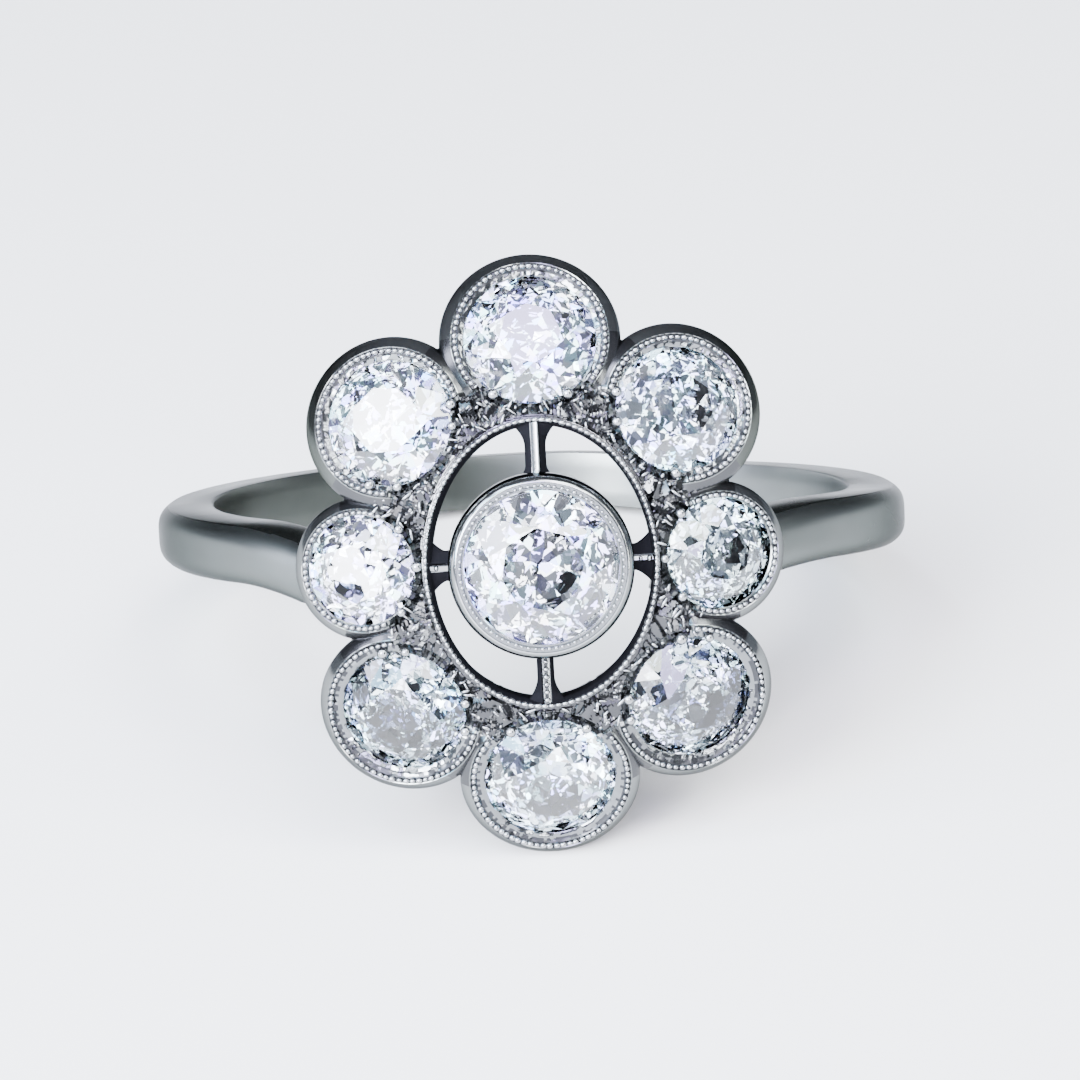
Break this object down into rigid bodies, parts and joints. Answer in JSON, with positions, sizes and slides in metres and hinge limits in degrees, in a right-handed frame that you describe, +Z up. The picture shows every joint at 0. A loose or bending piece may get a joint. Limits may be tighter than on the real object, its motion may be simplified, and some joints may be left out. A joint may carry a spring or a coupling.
{
  "type": "cluster ring",
  "caption": "Daisy cluster finger ring: round stones in petal collets round a raised centre stone, open oval gallery, plain half-round shank.",
  "frame": {"origin": "middle of the bounding box on the floor that the ring lies on, resting on the back of the hoop and on the bottom petal", "axes": "+X to the right of the face, -Y the way the face looks, +Z up; the finger axis leans 19.5 degrees from +Z towards +Y"},
  "size_m": [0.02, 0.0216, 0.0141],
  "materials": {
    "metal": "polished platinum, slightly worn",
    "stone": "clear faceted stone, old cut"
  },
  "bodies": {
    "root": {"ring_setting": "metal", "centre_stone": "stone", "stone_top": "stone", "stone_upper_right": "stone", "stone_right": "stone", "stone_lower_right": "stone", "stone_bottom": "stone", "stone_lower_left": "stone", "stone_left": "stone", "stone_upper_left": "stone"}
  },
  "joints": []
}
